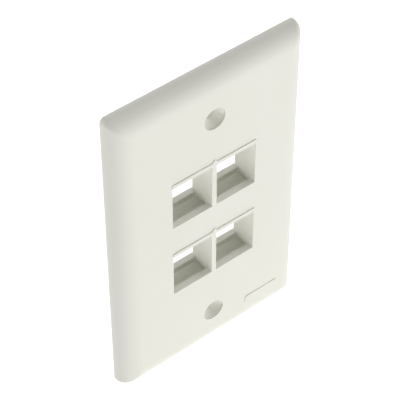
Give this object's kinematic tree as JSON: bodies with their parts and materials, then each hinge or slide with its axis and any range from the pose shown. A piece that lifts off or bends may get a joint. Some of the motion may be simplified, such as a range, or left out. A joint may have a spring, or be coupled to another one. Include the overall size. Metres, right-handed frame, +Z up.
{
  "type": "keystone faceplate",
  "caption": "Single-gang wall plate with rounded edges, rows of keystone jack ports under raised brows, and countersunk screw holes on its centreline.",
  "frame": {"origin": "midway between the two screw holes, in the plane of the rim that seats on the wall", "axes": "+Z up as mounted, +Y into the wall, the front looks along -Y, +X to the right of someone who faces the plate"},
  "size_m": [0.0698, 0.0106, 0.1142],
  "materials": {
    "faceplate": "smooth satin moulding, warm white"
  },
  "bodies": {
    "root": {"faceplate": "faceplate"}
  },
  "joints": []
}
